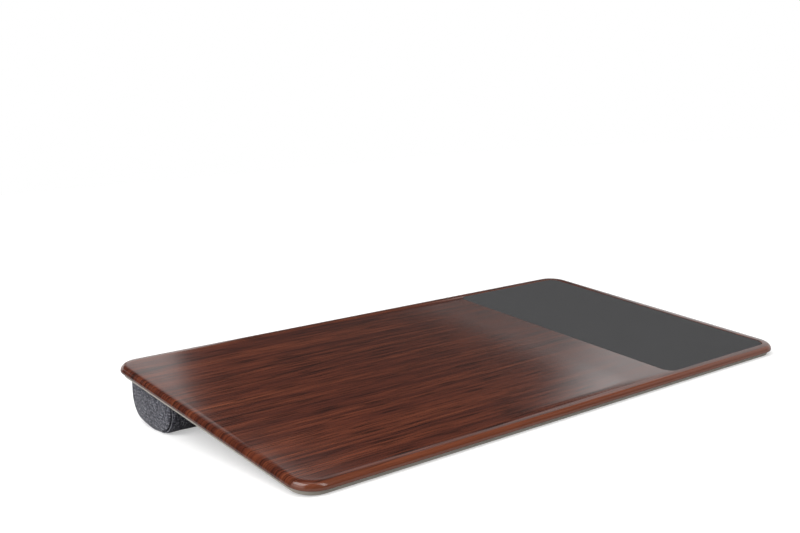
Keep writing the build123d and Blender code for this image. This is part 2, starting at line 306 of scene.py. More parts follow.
line_strength = add(
    tree, "ShaderNodeMapRange", {"Value": line_chance, "From Min": 0.3, "To Min": 0.0, "To Max": 1.0}
)["Result"]
unbroken = add(tree, "ShaderNodeMapRange", {
    "Value": marks["break"], "From Min": 0.3, "From Max": 0.55,
}, interpolation_type="SMOOTHSTEP")["Result"]
for weakening in (line_strength, unbroken):
    line_share = add(tree, "ShaderNodeMath", {0: line_share, 1: weakening}, operation="MULTIPLY")["Value"]
tone = add(tree, "ShaderNodeMix", {0: streak_share, 2: marks["band"], 3: marks["streak"]})[0]
wood = add(tree, "ShaderNodeValToRGB", {"Fac": tone}, wood_stops)["Color"]
lined = add(tree, "ShaderNodeMix", {0: line_share, 6: wood, 7: line_ink}, data_type="RGBA")[2]
pores = marks["pore"]
pore_shade = add(tree, "ShaderNodeValToRGB", {"Fac": pores}, pore_stops)["Color"]
printed = add(
    tree, "ShaderNodeMix", {0: pore_depth, 6: lined, 7: pore_shade}, data_type="RGBA", blend_type="MULTIPLY"
)[2]
# On the rolls along the front and the back, which way the sheet faces mixes its figure towards one plain,
# paler wood colour
facing = add(tree, "ShaderNodeTexCoord")["Normal"]
facing_front = add(
    tree, "ShaderNodeVectorMath", {0: facing, 1: board_turn @ Vector((0, -1, 0))}, operation="DOT_PRODUCT"
)["Value"]
faces_front_or_back = add(tree, "ShaderNodeMath", {0: facing_front}, operation="ABSOLUTE")["Value"]
evened = add(
    tree, "ShaderNodeMapRange", {"Value": faces_front_or_back, "From Min": 0.08, "From Max": 0.4, "To Max": most_even}
)["Result"]
printed = add(tree, "ShaderNodeMix", {0: evened, 6: printed, 7: even_wood}, data_type="RGBA")[2]
lacquer = add(tree, "ShaderNodeMapRange", {"Value": pores, "To Min": 0.13, "To Max": 0.18})["Result"]
relief = add(tree, "ShaderNodeBump", {"Height": pores, "Strength": 0.04, "Distance": 0.0002})["Normal"]
paint(tree, printed, lacquer, relief)

foil = make_piece("wood_grain_skin", mesh_of(foil_shape, "wood_grain_skin"), foil_finish)
thicken(foil, foil_gauge)
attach(foil, "desk")
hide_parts("wood_grain_foil")

# Mouse mat: a fine knitted cloth bonded to foam rubber, die-cut to one rounded outline and laid
# in the pocket, so that its face is level with the wood. The rubber shows as a dark line.
mat_corner = 0.011
cloth_edge = 0.0002
rubber_edge = 0.0003
edge_ease = 0.3


def soft_slab(low, high, corner, edge):
    """A flat layer between two corners, with rounded corners and softened rims."""
    shape = bmesh.new()
    outline = rounded_outline(low, high, corner)
    profile = [
        (edge, low.z), (0, low.z + edge), (0, high.z - edge),
        (edge_ease * edge, high.z - edge_ease * edge), (edge, high.z), (2 * edge, high.z),
    ]
    rings = [ring_of(shape, outline, inset, height) for inset, height in profile]
    skin(shape, rings)
    shape.faces.new(reversed(rings[0]))
    shape.faces.new(rings[-1])
    map_sheet(shape, {vertex: vertex.co.xy for vertex in shape.verts})
    return shape


# Foam rubber: matt black, with fine closed cells
cell_size = 0.0006
cell_stops = [(0.0, linear("0f0f10")), (0.7, linear("222224"))]
rubber_finish, tree = new_finish("black_foam_rubber", {"IOR": 1.5, "Specular IOR Level": 0.25})
place = add(tree, "ShaderNodeTexCoord")["Object"]
cells = add(tree, "ShaderNodeTexVoronoi", {"Vector": place, "Scale": 1 / cell_size})["Distance"]
cell_colour = add(tree, "ShaderNodeValToRGB", {"Fac": cells}, cell_stops)["Color"]
cell_rough = add(tree, "ShaderNodeMapRange", {"Value": cells, "To Min": 0.75, "To Max": 0.95})["Result"]
paint(tree, cell_colour, cell_rough)
mat_rubber_mesh = mesh_of(soft_slab(rubber_low, rubber_high, mat_corner, rubber_edge), "mat_foam_backing")
mat_rubber = make_piece("mat_foam_backing", mat_rubber_mesh, rubber_finish)
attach(mat_rubber, "desk")
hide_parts("mouse_mat_rubber")

# Knitted polyester: matt dark grey, a little paler at a low angle. The real loops are 0.4 mm
# apart, which is too fine to show, so they are drawn at twice that.
loop_pitch = 0.0008
knit_cloud = 0.05
cloud_share = 0.15
knit_stops = [(0.0, linear("2b2b2c")), (0.35, linear("353536")), (0.8, linear("424243"))]
knit_finish, tree = new_finish(
    "fine_knitted_polyester",
    {"IOR": 1.45, "Specular IOR Level": 0.2, "Sheen Weight": 0.07, "Sheen Roughness": 0.5},
)
sheet = add(tree, "ShaderNodeUVMap", uv_map="sheet")["UV"]
# The wave texture repeats at pi / 10 divided by its scale
knit_scale = pi / 10 / loop_pitch
courses = add(tree, "ShaderNodeTexWave", {"Vector": sheet, "Scale": knit_scale}, bands_direction="X")["Fac"]
wales = add(tree, "ShaderNodeTexWave", {"Vector": sheet, "Scale": knit_scale}, bands_direction="Y")["Fac"]
loops = add(tree, "ShaderNodeMath", {0: courses, 1: wales}, operation="MULTIPLY")["Value"]
clouds = add(tree, "ShaderNodeTexNoise", {"Vector": sheet, "Scale": 1 / knit_cloud, "Detail": 4})["Fac"]
knit_tone = add(tree, "ShaderNodeMix", {0: cloud_share, 2: loops, 3: clouds})[0]
knit_colour = add(tree, "ShaderNodeValToRGB", {"Fac": knit_tone}, knit_stops)["Color"]
knit_rough = add(tree, "ShaderNodeMapRange", {"Value": loops, "To Min": 0.9, "To Max": 0.8})["Result"]
relief = add(tree, "ShaderNodeBump", {"Height": loops, "Strength": 0.25, "Distance": 0.0002})["Normal"]
paint(tree, knit_colour, knit_rough, relief)
mat_cloth_mesh = mesh_of(soft_slab(mat_low, mat_high, mat_corner, cloth_edge), "mat_knitted_face")
mat_cloth = make_piece("mat_knitted_face", mat_cloth_mesh, knit_finish)
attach(mat_cloth, "desk")
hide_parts("mouse_mat_cloth")

# Base plate: one flat moulding in pale plastic, screwed to the board from below and set in a
# little from its edge. Its mould was etched, so it has a fine even grain and a low sheen.
grain_size = 0.0007
patch_size = 0.06
plastic_stops = [(0.3, linear("aaa399")), (0.7, linear("b8b2a9"))]
plastic_finish, tree = new_finish("etched_pale_plastic", {"IOR": 1.49, "Specular IOR Level": 0.4})
place = add(tree, "ShaderNodeTexCoord")["Object"]
grain = add(tree, "ShaderNodeTexNoise", {"Vector": place, "Scale": 1 / grain_size, "Detail": 2})["Fac"]
patches = add(tree, "ShaderNodeTexNoise", {"Vector": place, "Scale": 1 / patch_size, "Detail": 3})["Fac"]
plastic_colour = add(tree, "ShaderNodeValToRGB", {"Fac": patches}, plastic_stops)["Color"]
plastic_rough = add(tree, "ShaderNodeMapRange", {"Value": grain, "To Min": 0.4, "To Max": 0.6})["Result"]
relief = add(tree, "ShaderNodeBump", {"Height": grain, "Strength": 0.2, "Distance": 0.0002})["Normal"]
paint(tree, plastic_colour, plastic_rough, relief)
dress("base_plate", plastic_finish)

# Base screws: small countersunk wood screws of zinc-plated steel with a cross recess, driven up
# through the base plate into the core. Each stopped at its own turn.
head_radius = 0.0026
shank_radius = 0.0013
tip_radius = 0.0002
head_rim = 0.0002
head_steps = 24
recess_reach = 0.0015
recess_half_width = 0.0004
recess_depth = 0.0008
recess_taper = 0.55
screw_columns = 4
screw_rows = 2
screw_low, screw_high = lies("base_screws")
screw_span = screw_high - screw_low


def circle(shape, radius, height, steps):
    """A ring of vertices round the upright axis."""
    return [
        shape.verts.new((radius * cos(2 * pi * k / steps), radius * sin(2 * pi * k / steps), height))
        for k in range(steps)
    ]


def screw_shape():
    """One screw, with its head's face at the bottom and its shank going up."""
    shape = bmesh.new()
    face = circle(shape, head_radius - head_rim, 0, head_steps)
    profile = (
        (head_radius, head_rim),
        (shank_radius, head_rim + head_radius - shank_radius),
        (shank_radius, screw_span.z - shank_radius),
        (tip_radius, screw_span.z),
    )
    rings = [face] + [circle(shape, radius, height, head_steps) for radius, height in profile]
    skin(shape, rings)
    shape.faces.new(rings[-1])
    arm = [
        (recess_reach, -recess_half_width), (recess_reach, recess_half_width),
        (recess_half_width, recess_half_width),
    ]
    cross = [
        (x * cos(turn) - y * sin(turn), x * sin(turn) + y * cos(turn))
        for turn in (0, pi / 2, pi, 3 * pi / 2) for x, y in arm
    ]
    mouth = [shape.verts.new((x, y, 0)) for x, y in cross]
    floor = [shape.verts.new((x * recess_taper, y * recess_taper, recess_depth)) for x, y in cross]
    skin(shape, [mouth, floor])
    shape.faces.new(floor)
    fill_between(shape, face, mouth)
    bmesh.ops.recalc_face_normals(shape, faces=shape.faces)
    return shape


def new_tree(name, sockets):
    """An empty tree of Geometry Nodes with named inputs and one output, and its inputs."""
    tree = bpy.data.node_groups.new(name, "GeometryNodeTree")
    for socket, kind in sockets.items():
        tree.interface.new_socket(socket, in_out="INPUT", socket_type=kind)
    tree.interface.new_socket("Geometry", in_out="OUTPUT", socket_type="NodeSocketGeometry")
    return tree, add(tree, "NodeGroupInput")


def grown(name, tree, values):
    """Run a tree of Geometry Nodes, keep its result as a plain mesh and remove what it grew from."""
    carrier = bpy.data.objects.new(name, bpy.data.meshes.new(name))
    bpy.context.scene.collection.objects.link(carrier)
    modifier = carrier.modifiers.new("grown", "NODES")
    modifier.node_group = tree
    for socket in tree.interface.items_tree:
        if socket.in_out == "INPUT":
            modifier[socket.identifier] = values[socket.name]
    ready = carrier.evaluated_get(bpy.context.evaluated_depsgraph_get())
    mesh = bpy.data.meshes.new_from_object(ready)
    carrier.modifiers.remove(modifier)
    bpy.data.objects.remove(carrier)
    for value in values.values():
        if isinstance(value, bpy.types.Object):
            bpy.data.objects.remove(value)
    return mesh


def pattern_of(shape, name):
    """An object that a tree of Geometry Nodes can read a shape from."""
    return bpy.data.objects.new(name, mesh_of(shape, name))


def set_on_points(tree, points, shape, turn, finish):
    """End a tree of Geometry Nodes: a shape on each point, made real and given its finish."""
    placed = add(
        tree, "GeometryNodeInstanceOnPoints", {"Points": points, "Instance": shape, "Rotation": turn}
    )["Instances"]
    real = add(tree, "GeometryNodeRealizeInstances", {"Geometry": placed})["Geometry"]
    finished = add(tree, "GeometryNodeSetMaterial", {"Geometry": real, "Material": finish})["Geometry"]
    add(tree, "NodeGroupOutput", {"Geometry": finished})


# Rows of one shape about the origin, which screws, tapes and zip teeth all use
rows, given = new_tree("rows_of_one_shape", {
    "Shape": "NodeSocketObject", "Columns": "NodeSocketInt", "Rows": "NodeSocketInt",
    "Column pitch": "NodeSocketFloat", "Row pitch": "NodeSocketFloat", "Most turn": "NodeSocketFloat",
    "Seed": "NodeSocketInt", "Finish": "NodeSocketMaterial",
})
one = add(rows, "GeometryNodeObjectInfo", {"Object": given["Shape"]})["Geometry"]
reach = {}
for count, pitch in (("Columns", "Column pitch"), ("Rows", "Row pitch")):
    gaps = add(rows, "ShaderNodeMath", {0: given[count], 1: 1}, operation="SUBTRACT")["Value"]
    reach[count] = add(rows, "ShaderNodeMath", {0: gaps, 1: given[pitch]}, operation="MULTIPLY")["Value"]
points = add(rows, "GeometryNodeMeshGrid", {
    "Vertices X": given["Columns"], "Vertices Y": given["Rows"],
    "Size X": reach["Columns"], "Size Y": reach["Rows"],
})["Mesh"]
least_turn = add(rows, "ShaderNodeMath", {0: given["Most turn"], 1: -1}, operation="MULTIPLY")["Value"]
any_turn = add(
    rows, "FunctionNodeRandomValue", {2: least_turn, 3: given["Most turn"], "Seed": given["Seed"]}
)[1]
upright_turn = add(rows, "ShaderNodeCombineXYZ", {"Z": any_turn})["Vector"]
set_on_points(rows, points, one, upright_turn, given["Finish"])

# Zinc-plated steel: pale metal with fine cloudy plating
plating_cloud = 0.0012
zinc_stops = [(0.3, linear("a9adb2")), (0.7, linear("c9ccd0"))]
zinc_finish = cloudy_finish(
    "zinc_plated_steel", {"Metallic": 1.0}, plating_cloud, detail=4, stops=zinc_stops, smooth=0.22, rough=0.45
)
screw_mesh = grown("base_screw_set", rows, {
    "Shape": pattern_of(screw_shape(), "screw"), "Columns": screw_columns, "Rows": screw_rows,
    "Column pitch": (screw_span.x - 2 * head_radius) / (screw_columns - 1),
    "Row pitch": (screw_span.y - 2 * head_radius) / (screw_rows - 1),
    "Most turn": pi / 4, "Seed": 3, "Finish": zinc_finish,
})
screw_mesh.transform(Matrix.Translation((0, (screw_low.y + screw_high.y) / 2, screw_low.z)))
screws = make_piece("base_screw_set", screw_mesh, zinc_finish, sharp_angle=30)
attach(screws, "desk")
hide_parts("base_screws")

# Hook and loop tape: nylon tape in two halves, cut in short strips. The hook half is stuck to
# the base plate and the loop half is sewn to the bolster, and their piles grip in the gap.
tape_strips = 3
tape_length = 0.110
tape_corner = 0.0015
tape_backing = 0.00045
pile_pitch = 0.0022
pile_margin = 0.0018
pile_thread = 0.00016
pile_steps = 6
thread_sides = 5


def thread_along(shape, path, radius):
    """A round thread through a list of points, closed at both ends."""
    rings = []
    for number, point in enumerate(path):
        ahead = path[min(number + 1, len(path) - 1)]
        behind = path[max(number - 1, 0)]
        square = (ahead - behind).to_track_quat("Z", "Y").to_matrix()
        ring = []
        for side in range(thread_sides):
            turn = 2 * pi * side / thread_sides
            spoke = Vector((cos(turn), sin(turn), 0)) * radius
            ring.append(shape.verts.new(point + square @ spoke))
        rings.append(ring)
    skin(shape, rings)
    shape.faces.new(reversed(rings[0]))
    shape.faces.new(rings[-1])


def tape_strip(depth, height, bend):
    """One strip of tape on the origin: a woven backing, and pile threads that bend by an angle."""
    shape = soft_slab(
        Vector((-tape_length / 2, -depth / 2, 0)), Vector((tape_length / 2, depth / 2, tape_backing)),
        tape_corner, tape_backing / 3,
    )
    bow = (height - tape_backing - pile_thread) / 2
    path = []
    for step in range(pile_steps + 1):
        turn = bend * step / pile_steps
        path.append(Vector((-bow * cos(turn), 0, tape_backing + 2 * bow * sin(turn))))
    pile = bmesh.new()
    thread_along(pile, path, pile_thread)
    bmesh.ops.recalc_face_normals(pile, faces=pile.faces)
    tufts = grown("tufts", rows, {
        "Shape": pattern_of(pile, "tuft"), "Columns": int((tape_length - 2 * pile_margin) / pile_pitch),
        "Rows": int((depth - 2 * pile_margin) / pile_pitch), "Column pitch": pile_pitch,
        "Row pitch": pile_pitch, "Most turn": pi, "Seed": 3, "Finish": None,
    })
    shape.from_mesh(tufts)
    bpy.data.meshes.remove(tufts)
    return shape


# Nylon tape: dark and woven close, with a faint shine on its threads. The hooks stop short of a
# full loop, and the hook half hangs with its pile downwards.
nylon_thread = 0.0006
hang = Matrix.Rotation(pi, 4, "X")
for half, dark, pale, bend in (("hook", "1f1f21", "343437", 0.75 * pi), ("loop", "28282b", "414146", pi)):
    nylon_stops = [(0.35, linear(dark)), (0.65, linear(pale))]
    nylon_finish = cloudy_finish(
        f"woven_nylon_{half}_tape", {"IOR": 1.53, "Sheen Weight": 0.2}, nylon_thread,
        detail=2, stops=nylon_stops, smooth=0.6, rough=0.8,
    )
    strips_low, strips_high = lies(f"{half}_strips")
    strips_span = strips_high - strips_low
    strips_mesh = grown(f"{half}_tape_strips", rows, {
        "Shape": pattern_of(tape_strip(strips_span.y, strips_span.z, bend), "strip"), "Columns": tape_strips,
        "Rows": 1, "Column pitch": (strips_span.x - tape_length) / (tape_strips - 1), "Row pitch": 0.0,
        "Most turn": 0.0, "Seed": 3, "Finish": nylon_finish,
    })
    strips_mesh.transform(hang if half == "hook" else Matrix())
    strips_face = strips_high.z if half == "hook" else strips_low.z
    strips_mesh.transform(Matrix.Translation((0, (strips_low.y + strips_high.y) / 2, strips_face)))
    strips = make_piece(f"{half}_tape_strips", strips_mesh, nylon_finish)
    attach(strips, "desk")
    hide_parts(f"{half}_strips")

# Bolster: firm foam in a sewn cover of grey heather cloth. One panel goes round the back, the
# underside and the front, a lining closes the top, and a D-shaped panel is sewn in at each end,
# where the turned seam draws the cloth into a groove. Its sole lies flat on the table.
sole_setback = 0.039
sole_radius = 0.060
heel_lift = 0.009
heel_radius = 0.019
toe_radius = 0.024
top_radius = 0.0035
end_round = 0.0035
end_round_steps = 5
end_draw_back = 0.0128
end_draw_rim = 0.0016
end_reach_steps = 9
middle_steps = 76
slot_half_width = 0.0045
slot_end_gap = 0.00035
groove_depth = 0.0013
table_gap = 0.0002
top_gap = 0.0001
cover_gauge = 0.0011
lining_gauge = 0.0009
COVER, RIM, SLOT, LINING, LEFT_END, RIGHT_END = range(6)
cover_low, cover_high = lies("cushion_body_cover")
lining_low, lining_high = lies("cushion_top_panel")
upper_teeth_low, upper_teeth_high = lies("zip_teeth_upper")
lower_teeth_low, lower_teeth_high = lies("zip_teeth_lower")
stops_high = lies("zip_stops")[1]
zip_line = (upper_teeth_low.z + lower_teeth_high.z) / 2
slot_half_length = stops_high.x + slot_end_gap
bolster_top = lining_high.z
seam_x = cover_high.x


def table_at(y):
    """How high the table is at a depth y, in the board's own axes."""
    return -(board[2][3] + board[2][1] * y) / board[2][2]


heel_height = table_at(cover_high.y) + heel_lift


def bolster_outline(back_in, rim_in):
    """Points (y, z) round the bolster from the top of its back downwards, drawn in by two lengths.
    Each comes with the part of the cover that lies between it and the next point."""
    back = cover_high.y - back_in
    front = cover_low.y + rim_in
    sole_back = back - sole_setback
    # Each corner with its radius, its steps and part, and those of the straight after it
    corners = (
        (Vector((back, bolster_top)), top_radius, 4, RIM, 1, RIM),
        (Vector((back, heel_height + rim_in)), heel_radius, 8, COVER, 4, COVER),
        (Vector((sole_back, table_at(sole_back) + rim_in)), sole_radius, 4, COVER, 5, COVER),
        (Vector((front, table_at(front) + rim_in)), toe_radius, 9, COVER, 6, COVER),
        (Vector((front, bolster_top)), top_radius, 4, RIM, 16, LINING),
    )
    arcs = []
    for number, (corner, radius, arc_steps, *_) in enumerate(corners):
        before = (corners[number - 1][0] - corner).normalized()
        after = (corners[(number + 1) % len(corners)][0] - corner).normalized()
        half_angle = acos(before.dot(after)) / 2
        centre = corner + (before + after).normalized() * (radius / sin(half_angle))
        start = corner + before * (radius / tan(half_angle)) - centre
        end = corner + after * (radius / tan(half_angle)) - centre
        arcs.append([centre + start.slerp(end, step / arc_steps) * radius for step in range(arc_steps + 1)])
    outline = []
    for number, (_, _, _, arc_part, straight_steps, straight_part) in enumerate(corners):
        arc = arcs[number]
        following = arcs[(number + 1) % len(arcs)][0]
        outline += [(point, arc_part) for point in arc[:-1]]
        outline.append((arc[-1], straight_part))
        if number == 0:
            outline.append((Vector((back, zip_line + slot_half_width)), SLOT))
            outline.append((Vector((back, zip_line)), SLOT))
            outline.append((Vector((back, zip_line - slot_half_width)), RIM))
        for step in range(1, straight_steps):
            outline.append((arc[-1].lerp(following, step / straight_steps), straight_part))
    return outline


# Stations along the bolster from one end seam to the other, each with how far it is drawn in
end_stations = []
for step in range(end_round_steps + 1):
    turn = pi / 2 * step / end_round_steps
    end_stations.append((seam_x - end_round * (1 - cos(turn)), 1 - sin(turn)))
for step in range(1, end_reach_steps + 1):
    share = step / end_reach_steps
    end_stations.append(((seam_x - end_round) * (1 - share) + slot_half_length * share, 0))
middle_stations = [(slot_half_length * (1 - 2 * step / middle_steps), 0) for step in range(1, middle_steps)]
stations = end_stations + middle_stations + [(-x, draw) for x, draw in reversed(end_stations)]

plain_outline = bolster_outline(0, 0)
outline_count = len(plain_outline)
parts = [part for _, part in plain_outline]
run = [0.0]
for number in range(outline_count):
    step = plain_outline[(number + 1) % outline_count][0] - plain_outline[number][0]
    run.append(run[-1] + step.length)

bolster_shape = bmesh.new()
bolster_map = bolster_shape.loops.layers.uv.new("sheet")
body_rings = []
for x, draw in stations:
    outline = bolster_outline(draw * end_draw_back, draw * end_draw_rim)
    body_rings.append([bolster_shape.verts.new((x, *point)) for point, _ in outline])
reaches = [[0.0] * outline_count]
for ring, next_ring in zip(body_rings, body_rings[1:]):
    reaches.append([reach + (b.co - a.co).length for reach, a, b in zip(reaches[-1], ring, next_ring)])
halves = [reach / 2 for reach in reaches[-1]]
for place, next_place, ring, next_ring, reach, next_reach in zip(
    stations, stations[1:], body_rings, body_rings[1:], reaches, reaches[1:]
):
    over_slot = max(abs(place[0]), abs(next_place[0])) <= slot_half_length
    for number in range(outline_count):
        following = (number + 1) % outline_count
        face = bolster_shape.faces.new(
            (ring[number], ring[following], next_ring[following], next_ring[number])
        )
        part = parts[number]
        if part == RIM or part == SLOT and not over_slot:
            part = COVER
        face.material_index = part
        corner_places = (
            (halves[number] - reach[number], run[number]),
            (halves[following] - reach[following], run[number + 1]),
            (halves[following] - next_reach[following], run[number + 1]),
            (halves[number] - next_reach[number], run[number]),
        )
        for corner, corner_place in zip(face.loops, corner_places):
            corner[bolster_map].uv = corner_place

# The end panels rise fast out of the groove and are then hardly crowned. Each ring lies at a share
# of the way from the middle to the seam, and stands out by a height.
end_crown = (
    (0.972, 0.0009), (0.94, 0.0014), (0.88, 0.0017), (0.78, 0.0020), (0.62, 0.0022),
    (0.4, 0.0024), (0.2, 0.0024),
)
seam_outline = [Vector(vertex.co.yz) for vertex in body_rings[0]]
end_middle = sum(seam_outline, Vector((0, 0))) / outline_count
for side, part, seam in ((1, RIGHT_END, body_rings[0]), (-1, LEFT_END, body_rings[-1])):
    rings = [seam]
    for share, crown in end_crown:
        points = [end_middle.lerp(point, share) for point in seam_outline]
        rings.append([bolster_shape.verts.new((side * (seam_x + crown), *point)) for point in points])
    peak = bolster_shape.verts.new((side * (seam_x + end_crown[-1][1]), *end_middle))
    faces = skin(bolster_shape, rings)
    for number in range(outline_count):
        following = (number + 1) % outline_count
        faces.append(bolster_shape.faces.new((rings[-1][number], rings[-1][following], peak)))
    for face in faces:
        face.material_index = part
        for corner in face.loops:
            corner[bolster_map].uv = corner.vert.co.yz
bmesh.ops.recalc_face_normals(bolster_shape, faces=bolster_shape.faces)

# Held while the cover fills: the top, the band that the zip is sewn to, and the end seams
bolster_shape.verts.index_update()
held_parts = (RIM, SLOT, LINING)
held = {
    vertex.index for ring in body_rings for vertex, part in zip(ring, parts) if part in held_parts
}
seams = {1: [vertex.index for vertex in body_rings[0]], -1: [vertex.index for vertex in body_rings[-1]]}
held.update(seams[1], seams[-1])
bolster_mesh = mesh_of(bolster_shape, "bolster_blank")

cloth_frames = 20
cloth_pressure = 4.0
cloth_reach = 0.0022


def fill(mesh, held):
    """Blow a closed cover up from inside, as its foam does, with some of its points held."""
    blank = bpy.data.objects.new("bolster_blank", mesh)
    bpy.context.scene.collection.objects.link(blank)
    blank.vertex_groups.new(name="held").add(sorted(held), 1.0, "REPLACE")
    cloth = blank.modifiers.new("cloth", "CLOTH")
    cloth.settings.vertex_group_mass = "held"
    cloth.settings.use_pressure = True
    cloth.settings.uniform_pressure_force = cloth_pressure
    cloth.settings.effector_weights.gravity = 0
    cloth.collision_settings.use_collision = False
    cloth.point_cache.frame_start = 1
    cloth.point_cache.frame_end = cloth_frames
    for number in range(1, cloth_frames + 1):
        bpy.context.scene.frame_set(number)
    full = blank.evaluated_get(bpy.context.evaluated_depsgraph_get())
    moves = [after.co - before.co for after, before in zip(full.data.vertices, mesh.vertices)]
    for vertex, move in zip(mesh.vertices, moves):
        vertex.co += move * min(1, cloth_reach / max(move.length, cloth_reach / 10))
    blank.modifiers.remove(cloth)
    bpy.data.objects.remove(blank)
    bpy.context.scene.frame_set(1)


fill(bolster_mesh, held)
for side, numbers in seams.items():
    for number, point in zip(numbers, seam_outline):
        inwards = (end_middle - point).normalized() * groove_depth
        bolster_mesh.vertices[number].co += Vector((-side * groove_depth / 2, *inwards))
for vertex in bolster_mesh.vertices:
    vertex.co.z = max(vertex.co.z, table_at(vertex.co.y) + table_gap)
    vertex.co.z = min(vertex.co.z, bolster_top - top_gap)

# Heather cloth: a plain weave of mixed yarns, blue-grey with dark and pale flecks, soft and matt.
# The real yarns are 0.8 mm apart, and are drawn wider so that the weave shows.
yarn_pitch = 0.0014
yarn_wave = 0.4
fleck_length = 0.005
cloth_cloud = 0.03
cloud_share = 0.08
weave_shade_depth = 0.8
heather_stops = [
    (0.32, linear("2a2a32")), (0.44, linear("4a4a53")), (0.54, linear("6c6c76")), (0.66, linear("a8a8b0")),
]
weave_shade_stops = [(0.0, linear("909090")), (0.4, linear("ffffff"))]
heather_finish, tree = new_finish(
    "grey_heather_cloth",
    {"IOR": 1.45, "Specular IOR Level": 0.15, "Sheen Weight": 0.15, "Sheen Roughness": 0.45},
)
sheet = add(tree, "ShaderNodeUVMap", uv_map="sheet")["UV"]
yarns = {
    "Vector": sheet, "Scale": pi / 10 / yarn_pitch, "Distortion": 0.8, "Detail": 1, "Detail Scale": yarn_wave,
}
ridges = []
flecks = []
for direction, length, width in (("X", yarn_pitch, fleck_length), ("Y", fleck_length, yarn_pitch)):
    ridges.append(add(tree, "ShaderNodeTexWave", yarns, bands_direction=direction)["Fac"])
    drawn = add(tree, "ShaderNodeMapping", {"Vector": sheet, "Scale": (1 / length, 1 / width, 1)})["Vector"]
    flecks.append(add(tree, "ShaderNodeTexNoise", {"Vector": drawn, "Scale": 1, "Detail": 1})["Fac"])
weave = add(tree, "ShaderNodeMath", {0: ridges[0], 1: ridges[1]}, operation="MULTIPLY")["Value"]
on_top = add(tree, "ShaderNodeTexChecker", {"Vector": sheet, "Scale": 1 / yarn_pitch})["Fac"]
flecked = add(tree, "ShaderNodeMix", {0: on_top, 2: flecks[0], 3: flecks[1]})[0]
clouds = add(tree, "ShaderNodeTexNoise", {"Vector": sheet, "Scale": 1 / cloth_cloud, "Detail": 3})["Fac"]
heather_tone = add(tree, "ShaderNodeMix", {0: cloud_share, 2: flecked, 3: clouds})[0]
heather = add(tree, "ShaderNodeValToRGB", {"Fac": heather_tone}, heather_stops)["Color"]
# The hollows between the yarns are painted darker over the heather colour: painted shade
weave_shade = add(tree, "ShaderNodeValToRGB", {"Fac": weave}, weave_shade_stops)["Color"]
heather_colour = add(tree, "ShaderNodeMix", {
    0: weave_shade_depth, 6: heather, 7: weave_shade,
}, data_type="RGBA", blend_type="MULTIPLY")[2]
heather_rough = add(tree, "ShaderNodeMapRange", {"Value": weave, "To Min": 0.95, "To Max": 0.85})["Result"]
relief = add(tree, "ShaderNodeBump", {"Height": weave, "Strength": 0.5, "Distance": 0.0005})["Normal"]
paint(tree, heather_colour, heather_rough, relief)

# Lining: plain dark polyester, thin and close, with a faint shine
lining_pitch = 0.0012
lining_stops = [(0.0, linear("2b2b30")), (0.6, linear("404047"))]
lining_finish, tree = new_finish("dark_polyester_lining", {"IOR": 1.5, "Sheen Weight": 0.1})
sheet = add(tree, "ShaderNodeUVMap", uv_map="sheet")["UV"]
lining_yarns = {"Vector": sheet, "Scale": pi / 10 / lining_pitch}
warp = add(tree, "ShaderNodeTexWave", lining_yarns, bands_direction="X")["Fac"]
weft = add(tree, "ShaderNodeTexWave", lining_yarns, bands_direction="Y")["Fac"]
weave = add(tree, "ShaderNodeMath", {0: warp, 1: weft}, operation="MULTIPLY")["Value"]
lining_colour = add(tree, "ShaderNodeValToRGB", {"Fac": weave}, lining_stops)["Color"]
lining_rough = add(tree, "ShaderNodeMapRange", {"Value": weave, "To Min": 0.75, "To Max": 0.6})["Result"]
paint(tree, lining_colour, lining_rough)


def sewn_panel(part, name, finish, gauge):
    """One panel of the filled bolster, given its cloth's thickness inwards."""
    shape = bmesh.new()
    shape.from_mesh(bolster_mesh)
    others = [face for face in shape.faces if face.material_index != part]
    bmesh.ops.delete(shape, geom=others, context="FACES")
    for face in shape.faces:
        face.material_index = 0
    made = make_piece(name, mesh_of(shape, name), finish, sharp_angle=180)
    thicken(made, gauge)
    smooth = made.modifiers.new("smooth", "SUBSURF")
    smooth.levels = 1
    smooth.render_levels = 1
    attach(made, "desk")
    return made


cover = sewn_panel(COVER, "bolster_cover", heather_finish, cover_gauge)
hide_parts("cushion_body_cover", "cushion_foam")
for part, side_name in ((LEFT_END, "left"), (RIGHT_END, "right")):
    end_panel = sewn_panel(part, f"bolster_end_{side_name}", heather_finish, cover_gauge)
    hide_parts(f"cushion_end_{side_name}")
lining = sewn_panel(LINING, "bolster_lining", lining_finish, lining_gauge)
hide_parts("cushion_top_panel")

# Zip: a coil zip let into the back of the cover, closed at rest. Its two tapes are sewn behind
# the slot, and each carries a row of nylon teeth that ends at a metal stop.
tooth_pitch = 0.0014
tooth_length = 0.00105
tooth_round = 0.00042
tape_edge = 0.00012
tape_rib = 0.0009
zip_base = upper_teeth_low.y
from_behind = Matrix(((-1, 0, 0, 0), (0, 0, 1, zip_base), (0, 1, 0, zip_line), (0, 0, 0, 1)))

# Zip tape: a narrow twill in dark grey polyester
rib_stops = [(0.1, linear("3a3a41")), (0.8, linear("5a5a63"))]
tape_finish, tree = new_finish("twill_zip_tape", {"IOR": 1.5, "Sheen Weight": 0.1})
sheet = add(tree, "ShaderNodeUVMap", uv_map="sheet")["UV"]
slanted = add(tree, "ShaderNodeMapping", {"Vector": sheet, "Rotation": (0, 0, pi / 4)})["Vector"]
ribs = add(
    tree, "ShaderNodeTexWave", {"Vector": slanted, "Scale": pi / 10 / tape_rib}, bands_direction="X"
)["Fac"]
rib_colour = add(tree, "ShaderNodeValToRGB", {"Fac": ribs}, rib_stops)["Color"]
rib_rough = add(tree, "ShaderNodeMapRange", {"Value": ribs, "To Min": 0.85, "To Max": 0.75})["Result"]
relief = add(tree, "ShaderNodeBump", {"Height": ribs, "Strength": 0.3, "Distance": 0.0002})["Normal"]
paint(tree, rib_colour, rib_rough, relief)

